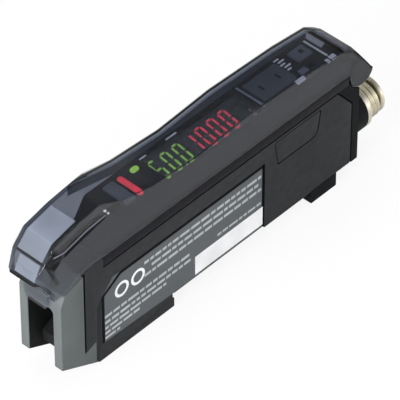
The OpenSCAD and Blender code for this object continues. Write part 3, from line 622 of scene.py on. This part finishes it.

# %% [markdown]
# A clear moulding looks darkest along its edges, because there the light runs lengthways in the
# wall. Thin dark strips inside the cover's skin paint that shade, and pale ones paint the light
# that some of its faces catch. Each is two lines that follow the cover's outline, bridged to a
# strip that a Solidify modifier gives its thickness. The outline is the cover's top as seen from
# the side, and a line under it is that line moved square to itself.

# %% Strip helpers
COVER_WALL = 0.8
COVER_TOP = [(-2.4, 30.3), (0.5, 33.4), (6.4, 34.8), (11.4, 35.4), (22.4, 32.9), (34.0, 32.05),
             (46.8, 32.9), (63.0, 32.3), (71.4, 31.4), (74.6, 29.4), (76.8, 26.4)]
REAR_FOOT = (79.4, 22.6)
NOSE_POINTS = 4


def under(line, gap):
    """The line moved by gap to its lower side, at right angles to itself."""
    moved = []
    for at, (x, z) in enumerate(line):
        ahead, behind = line[min(at + 1, len(line) - 1)], line[max(at - 1, 0)]
        run, rise = ahead[0] - behind[0], ahead[1] - behind[1]
        size = math.hypot(run, rise)
        moved.append((x + gap * rise / size, z - gap * run / size))
    return moved


def lengthwise(y, line, drop=0.0):
    """Places at y across, along a line of (along, up) points lowered by drop."""
    return [spot(x, y, z - drop) for x, z in line]


def spots(line, rise=0.0):
    """Places along a line of (along, across, up) points raised by rise."""
    return [spot(x, y, z + rise) for x, y, z in line]


def crosswise(point, half):
    """Two places straight across the case, half to each side of an (along, up) point."""
    return [spot(point[0], y, point[1]) for y in (-half, half)]


def ribbon(name, one_edge, other_edge, thick=0.12):
    """A thin strip bridged between two lines of places."""
    far_line = drawn(name + "_edge", other_edge)
    bpy.ops.object.mode_set(mode="OBJECT")
    piece = drawn(name, one_edge)
    bpy.ops.object.mode_set(mode="OBJECT")
    far_line.select_set(True)
    bpy.ops.object.join()
    bpy.ops.object.mode_set(mode="EDIT")
    bpy.ops.mesh.select_all(action="SELECT")
    bpy.ops.mesh.bridge_edge_loops()
    bpy.ops.object.mode_set(mode="OBJECT")
    solid = piece.modifiers.new("thickness", "SOLIDIFY")
    solid.thickness = thick * MM
    solid.offset = 0
    only(piece)
    bpy.ops.object.modifier_apply(modifier="thickness")
    return piece


def strip(name, places, width, thick=0.12):
    """A thin strip that starts along places and is as wide as the vector width, in millimetres."""
    return ribbon(name, places, [place + Vector(width) * MM for place in places], thick)


def joined(name, pieces, finish):
    """Strips made one piece that rides on the cover, with their faces outwards."""
    only(pieces[0])
    for piece in pieces:
        piece.select_set(True)
    bpy.ops.object.join()
    pieces[0].name = name
    bpy.ops.object.mode_set(mode="EDIT")
    face_outwards()
    bpy.ops.object.mode_set(mode="OBJECT")
    return finish_piece(pieces[0], "cover", finish)


inner_top = under(COVER_TOP, COVER_WALL + 0.1)
print("cover outline points", len(COVER_TOP))

# %% [markdown]
# Painted shade, as dark strips: round the far edge of the nose and down the far edge of the top,
# along the lower crease of the near edge of the nose, down the near edge of the rear slope, across
# the nose, round its cut corner, and across the top of the rear slope. The far strip is deep at
# the nose and shallow behind it, and both depths meet at the end of the nose.

# %% Painted dark edges
NOSE_END = (15.7, 34.1)
NEAR_FACE = -4.88
nose_top = lengthwise(3.65, under(COVER_TOP, 0.25)[:NOSE_POINTS] + [NOSE_END])
nose_side = lengthwise(4.7, under(COVER_TOP, 1.85)[:NOSE_POINTS] + [(15.6, 33.9)])
top_edge = [NOSE_END] + COVER_TOP[NOSE_POINTS:]
rear_wall = under(COVER_TOP + [REAR_FOOT], 0.3)[-3:] + [(78.5, 21.7)]
crease_top = [(-2.15, -3.55, 30.25), (-0.5, -4.15, 31.25), (1.32, NEAR_FACE, 31.8),
              (6.4, NEAR_FACE, 33.05), (11.2, NEAR_FACE, 33.5)]
crease_foot = [(-2.1, -3.75, 29.95), (-0.45, -4.4, 30.6), (1.32, NEAR_FACE, 30.95),
               (6.4, NEAR_FACE, 32.2), (11.2, NEAR_FACE, 33.1)]
cut_corner = [(-1.9, -3.6, 29.8), (-1.2, -4.2, 27.6), (-0.3, -4.3, 25.2)]
# painted shade: dark strips where the cover's wall is seen lengthways
joined("cover_edge_shades", [
    ribbon("far_nose_shade", nose_top, nose_side),
    strip("far_top_shade", lengthwise(4.75, top_edge, 0.4), (0, 0, -0.7)),
    ribbon("near_nose_shade", spots(crease_top), spots(crease_foot), 0.08),
    strip("near_rear_shade", lengthwise(-4.8, rear_wall), (0, 0.6, 0)),
    strip("nose_cross_shade", crosswise(inner_top[0], 3.3), (0.3, 0, 0.35)),
    strip("nose_corner_shade", spots(cut_corner), (0.7, 0, 0)),
    strip("rear_cross_shade", crosswise(inner_top[-2], 3.7), (-0.5, 0, 0.25)),
], "painted_edge_shade")

# %% [markdown]
# The far wall is seen through the top, so it looks paler than its dark edge: a slate strip hangs
# below it and paints that paler tone, painted light. The near edge of the nose catches the light
# in
# one pale line beside its dark one: a grey strip paints that highlight.

# %% Painted light: far wall and nose edge
far_wall = lengthwise(4.05, inner_top[NOSE_POINTS - 1:-2], 0.25)
# painted light: a slate strip for the paler tone of the far wall
joined("cover_wall_light", [strip("far_wall_light", far_wall, (0, 0, -2.0), 0.06)], "painted_wall_light")
HIGHLIGHT_RISE = 0.38
highlight_edge = spots(crease_top[1:], HIGHLIGHT_RISE)
# painted highlight along the near edge of the nose, in the keys' grey
joined("nose_edge_highlight", [strip("nose_highlight_strip", highlight_edge, (0, 0, -0.3), 0.08)], "button_grey")

# %% [markdown]
# Behind its slope the cover is looked at lengthways, and there it is black. A black strip paints
# that shade inside the slope from wall to wall. The round cheek that holds the hinge is black for
# the same reason: a plate of painted shade fills it, drawn round as a polygon and given its
# thickness by an extrude, and a rim follows the round part of its edge.

# %% Shaded rear
HINGE, CHEEK_RADIUS = (76.3, 23.3), 3.0
cheek = [(HINGE[0] + CHEEK_RADIUS * math.cos(angle), HINGE[1] + CHEEK_RADIUS * math.sin(angle))
         for angle in map(math.radians, range(-14, -190, -16))]
cheek_outline = cheek + [(74.2, 25.6), (76.35, 26.1), cheek[0]]
cheek_shade = drawn("cheek_shade", lengthwise(-4.55, cheek_outline))
merge_points()
bpy.ops.mesh.edge_face_add()
bpy.ops.mesh.extrude_region_move(TRANSFORM_OT_translate={"value": (0, 0.1 * MM, 0)})
bpy.ops.object.mode_set(mode="OBJECT")
slope_back = lengthwise(-3.9, under(COVER_TOP + [REAR_FOOT], 0.95)[-4:])
# painted shade: black sheets where the cover is looked at lengthways
joined("cover_shades", [
    strip("rear_slope_shade", slope_back, (0, 7.8, 0), 0.06),
    strip("cheek_rim_shade", lengthwise(-4.85, cheek), (0, 0.7, 0), 0.06),
    cheek_shade,
], "cap_black")

# %% [markdown]
# The tip of the nose is the finger grip. Pale strips inside it, and inside the two flats behind
# it, paint the brightness those facets show through the smoke: painted light. The rear slope
# carries one pale bar.

# %% Finger grip and painted light on the nose
grip = strip("grip_light_strip", [spot(-1.75, y, 29.5) for y in (-2.3, 2.3)], (-1.45, 0, -2.9), 0.2)
front_flat, rear_flat = [
    strip("flat_light_strip", lengthwise(-2.4, inner_top[at:at + 2]), (0, 5.6, 0), 0.06)
    for at in (0, 1)]
# painted light on the finger grip and the flats of the nose
joined("grip_light_strip", [grip, front_flat], "painted_grip_light")
joined("flat_light_strip", [rear_flat], "painted_flat_light")
slope_line = [spot(72.4, y, 29.85) for y in (2.7, -2.4)]
finish_piece(strip("slope_bar", slope_line, (1.1, 0, -0.69), 0.04), "cover", "print_dim")

# %% [markdown]
# Print is flat bars: each line of small print is a row of short bars with gaps, as it looks from
# a step away. The bars lie on the surface that carries them and stand a few hundredths of a
# millimetre proud, like screen-printed ink. They are added one after another in edit mode, so a
# whole print is one mesh.

# %% Print helpers
INK = 0.03
LABEL_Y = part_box("side_label")[0].y / MM - INK / 2
BAR_GAP, SHORTEST, LONGEST = 0.35, 0.7, 2.6


def printed(name, bars, body, finish, facing):
    """One mesh of thin bars. Each is (centre, length, breadth); facing is their normal's axis."""
    bpy.ops.object.select_all(action="DESELECT")
    piece = None
    for centre, length, breadth in bars:
        size = (length, INK, breadth) if facing == "Y" else (length, breadth, INK)
        bpy.ops.mesh.primitive_cube_add(size=MM, location=spot(*centre), scale=size)
        if piece is None:
            piece = bpy.context.view_layer.objects.active
            piece.name = name
            bpy.ops.object.transform_apply(location=True, rotation=True, scale=True)
            bpy.ops.object.mode_set(mode="EDIT")
    bpy.ops.mesh.select_all(action="SELECT")
    bpy.ops.mesh.bevel(offset=0.008 * MM, segments=1)
    bpy.ops.object.mode_set(mode="OBJECT")
    return finish_piece(piece, body, finish)


def line_of_print(start, end, height, breadth, rng):
    """The bars that stand for one line of print on the label."""
    bars = []
    x = start
    while x < end - SHORTEST:
        length = min(rng.uniform(SHORTEST, LONGEST), end - x)
        bars.append(((x + length / 2, LABEL_Y, height), length, breadth))
        x += length + BAR_GAP
    return bars


# %% [markdown]
# The label has three lines of print along its top, one short line over the white field for
# marking, and a block at its front foot whose lines get shorter and smaller. A row of the table
# is where a line starts and ends, its height above the foot and its breadth.

# %% Label print
label_rows = [
    (20.6, 50.2, 15.7, 0.62), (22.4, 50.2, 14.2, 0.62), (20.6, 50.2, 12.7, 0.62),
    (39.0, 50.2, 9.4, 0.5), (10.8, 32.4, 9.8, 0.6), (10.8, 32.4, 8.4, 0.6),
    (10.8, 26.0, 7.1, 0.55), (10.8, 20.0, 5.9, 0.55), (10.8, 14.4, 4.8, 0.55)]
rng = random.Random(4)
bars = []
for row in label_rows:
    bars += line_of_print(*row, rng)
printed("label_lines", bars, "case", "print_grey", "Y")
printed("label_field", [((42.0, LABEL_Y, 6.0), 17.4, 4.3)], "case", "print_white", "Y")

# %% [markdown]
# A dark strip runs up the label's front edge, over its cut corner and along its top: painted
# shadow at the edge of the shallow field that the label lies in. It is flat too, so it is a strip
# between the label's outline and the same outline moved inwards.

# %% Painted shadow at the label's edge
SHADOW_BAND, SHADOW_FOOT = 0.7, 4.0
MITRE = SHADOW_BAND / 3
CORNER_RUN, CORNER_RISE = 4.6, 3.0
label_low, label_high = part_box("side_label")
front, rear, top = mm_along(label_low.x), mm_along(label_high.x), mm_up(label_high.z)
outer = [(front, SHADOW_FOOT), (front, top - CORNER_RISE), (front + CORNER_RUN, top), (rear, top)]
inner = [(front + SHADOW_BAND, SHADOW_FOOT), (front + SHADOW_BAND, top - CORNER_RISE - MITRE),
         (front + CORNER_RUN + MITRE, top - SHADOW_BAND), (rear, top - SHADOW_BAND)]
# painted shadow along the label's front edge and top
edge_shadow = ribbon("label_edge_shadow", lengthwise(LABEL_Y, outer), lengthwise(LABEL_Y, inner), INK)
finish_piece(edge_shadow, "case", "seam_black")

# %% [markdown]
# Two plain rings fill the front upper corner of the label. Each is a filled circle whose middle
# is inset and deleted, and the ring that is left is extruded to the thickness of ink.

# %% Label rings
RING_RADIUS, RING_BREADTH, RING_HEIGHT = 1.7, 0.55, 13.7
made = []
for x in (15.0, 19.0):
    bpy.ops.object.select_all(action="DESELECT")
    bpy.ops.mesh.primitive_circle_add(vertices=40, radius=RING_RADIUS * MM, fill_type="NGON",
                                      location=spot(x, LABEL_Y - INK / 2, RING_HEIGHT),
                                      rotation=(math.pi / 2, 0, 0))
    made.append(bpy.context.view_layer.objects.active)
    bpy.ops.object.mode_set(mode="EDIT")
    bpy.ops.mesh.select_all(action="SELECT")
    bpy.ops.mesh.inset(thickness=RING_BREADTH * MM)
    bpy.ops.mesh.delete(type="FACE")
    bpy.ops.mesh.select_all(action="SELECT")
    bpy.ops.mesh.extrude_region_move(TRANSFORM_OT_translate={"value": (0, INK * MM, 0)})
    face_outwards()
    bpy.ops.object.mode_set(mode="OBJECT")
rings, second_ring = made
only(rings)
second_ring.select_set(True)
bpy.ops.object.join()
rings.name = "label_rings"
finish_piece(rings, "case", "print_white")

# %% [markdown]
# The panel is printed too: short legends beside the lamp, the figures, the rocker and the keys.
# The bar at 69.6 across the panel is no print but a painted highlight along the panel's rear
# crease. A row of the table is a bar's place along and across, its length and its breadth. The
# keys and the rocker carry dark marks that move with them, and a pale strip lies on the ridge
# behind the display window.

# %% Panel print
print_and_highlight = [
    (28.6, 3.2, 1.6, 0.35), (35.8, 3.35, 2.6, 0.35), (62.5, 3.3, 1.2, 0.4), (62.9, 2.5, 1.5, 0.4),
    # the bar at 69.6 across the panel is a painted highlight along its rear crease
    (62.5, 1.7, 1.2, 0.4), (62.9, 0.9, 1.5, 0.4), (62.5, 0.1, 1.0, 0.4), (69.6, 0.4, 0.45, 5.6),
    (61.6, -3.2, 2.2, 0.9), (68.6, -3.3, 0.7, 0.9), (70.0, -3.2, 1.4, 1.1)]
ink_z = PANEL_TOP + INK / 2
printed("panel_print_and_highlight", [((x, y, ink_z), length, breadth) for x, y, length, breadth in print_and_highlight],
        "case", "print_white", "Z")
key_z = mm_up(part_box("mode_button")[1].z) + INK / 2
printed("mode_mark", [((67.0, 1.5, key_z), 0.9, 0.9)], "mode_key", "panel_black", "Z")
ROCKER_DISH, ARROW_OFFSET = 0.09, 2.1
rocker_low, rocker_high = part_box("rocker_button")
rocker_middle = mm_along((rocker_low.x + rocker_high.x) / 2)
rocker_z = mm_up(rocker_high.z) - ROCKER_DISH + INK / 2
printed("rocker_marks", [((rocker_middle + side * ARROW_OFFSET, 0, rocker_z), 0.5, 1.4)
                         for side in (-1, 1)], "rocker", "panel_black", "Z")
RIDGE_GAP, RIDGE_RISE = 0.8, 0.35
ridge = (mm_along(window_high.x) + RIDGE_GAP, 0, PANEL_TOP + RIDGE_RISE + INK / 2)
printed("ridge_strip", [(ridge, 0.5, 6.6)], "case", "print_dim", "Z")

# %% [markdown]
# Two small pale nubs end the pale line of the nose, where it meets the flat of the top; their pale
# colour is a painted highlight. They are spheres, flattened and half sunk in the cover, so that
# they read as nubs from any side.

# %% Cover nubs
nubs = []
for place, radius in (((11.5, -4.45, 34.2), 0.24), ((12.0, -4.68, 33.5), 0.22)):
    bpy.ops.object.select_all(action="DESELECT")
    bpy.ops.mesh.primitive_uv_sphere_add(segments=16, ring_count=8, radius=radius * MM,
                                         location=spot(*place), scale=(1.2, 1.0, 0.8))
    nubs.append(bpy.context.view_layer.objects.active)
# painted highlight on two small nubs of the cover
joined("nub_highlights", nubs, "print_grey")

# %% [markdown]
# The floor is plain and pale. To a camera ray it is mostly white, like the paper of a catalogue;
# to every other ray it is pale grey, so that it lights the object from below no more than a table
# does. What the camera sees keeps a part of the real paper, so the object's shadow falls on it.

# %% Floor
PAPER_WHITE, WHITE_SHARE = 1.12, 0.78
bpy.ops.object.select_all(action="DESELECT")
bpy.ops.mesh.primitive_plane_add(size=3, location=spot(40, 0, -0.02))
floor = bpy.context.view_layer.objects.active
floor.name = "floor"
paper = Finish("paper")
paper.set(Base_Color=(0.52, 0.52, 0.53, 1), Roughness=0.9)
paper.bump(paper.noise(0.002), 0.00001)
paper_shader = paper.shader.outputs["BSDF"]
white = paper.add("Emission", Color=(1, 1, 1, 1), Strength=PAPER_WHITE)
seen = paper.add("MixShader", Fac=WHITE_SHARE)
paper.links.new(paper_shader, seen.inputs[1])
paper.links.new(white.outputs["Emission"], seen.inputs[2])
floor_rays = paper.add("LightPath").outputs
through = paper.add("Math", {"operation": "MAXIMUM"})
paper.links.new(floor_rays["Is Camera Ray"], through.inputs[0])
paper.links.new(floor_rays["Is Transmission Ray"], through.inputs[1])
chosen = paper.add("MixShader", Fac=through.outputs[0])
paper.links.new(paper_shader, chosen.inputs[1])
paper.links.new(seen.outputs["Shader"], chosen.inputs[2])
paper.links.new(chosen.outputs["Shader"], paper.nodes["Material Output"].inputs["Surface"])
floor.data.materials.append(paper.material)
print("floor", floor.name)

# %% [markdown]
# The photograph is lit from the front left: the block's front is three times as bright as its
# side. One large soft lamp stands there, and two weaker ones lift the label side and the top.

# %% Lamps
centre = spot(40, 0, 15)


def lamp(name, offset, size, power):
    """A square area lamp that stands off the centre of the object and faces it."""
    data = bpy.data.lights.new(name, "AREA")
    data.size = size
    data.energy = power
    light = bpy.data.objects.new(name, data)
    bpy.context.collection.objects.link(light)
    light.location = centre + offset
    light.rotation_mode = "QUATERNION"
    light.rotation_quaternion = (light.location - centre).to_track_quat("Z", "Y")


lamp("key", Vector((-0.5, -0.05, 0.15)), 0.30, 4.3)
lamp("side", Vector((0.12, -0.5, 0.12)), 0.40, 0.9)
lamp("top", Vector((0.05, 0.10, 0.55)), 0.35, 0.4)

# %% [markdown]
# The world fills in. The camera, and what it sees through the smoke, meets plain white.
# Reflections see a white horizon and a dimmer ceiling, as in a light tent, and all other rays
# bring an even, weaker light. The kinds of ray choose between the three.

# %% World
FILL = 0.62
world = bpy.data.worlds.new("world")
bpy.context.scene.world = world
world.use_nodes = True
sky, joins = world.node_tree.nodes, world.node_tree.links


def sky_math(operation, first, second):
    """The output of one sum on two values or outputs."""
    node = sky.new("ShaderNodeMath")
    node.operation = operation
    for socket, value in zip(node.inputs, (first, second)):
        if isinstance(value, bpy.types.NodeSocket):
            joins.new(value, socket)
        else:
            socket.default_value = value
    return node.outputs[0]


rays = sky.new("ShaderNodeLightPath").outputs
direction = sky.new("ShaderNodeSeparateXYZ")
joins.new(sky.new("ShaderNodeTexCoord").outputs["Generated"], direction.inputs[0])
ceiling = sky.new("ShaderNodeMapRange")
joins.new(direction.outputs["Z"], ceiling.inputs["Value"])
for socket, value in (("From Min", 0.1), ("From Max", 0.6), ("To Min", 1.0), ("To Max", 0.12)):
    ceiling.inputs[socket].default_value = value
plain = sky_math("MAXIMUM", rays["Is Camera Ray"], rays["Is Transmission Ray"])
mirrored = sky_math("MULTIPLY", rays["Is Glossy Ray"], ceiling.outputs["Result"])
mirrored = sky_math("MULTIPLY", mirrored, sky_math("SUBTRACT", 1.0, plain))
other = sky_math("SUBTRACT", 1.0, sky_math("MAXIMUM", plain, rays["Is Glossy Ray"]))
fill = sky_math("MULTIPLY", FILL, other)
strength = sky_math("ADD", plain, sky_math("ADD", mirrored, fill))
background = sky["Background"]
background.inputs["Color"].default_value = (0.98, 0.99, 1.0, 1)
joins.new(strength, background.inputs["Strength"])
bpy.context.scene.view_settings.view_transform = "Standard"
print("world fill", FILL)
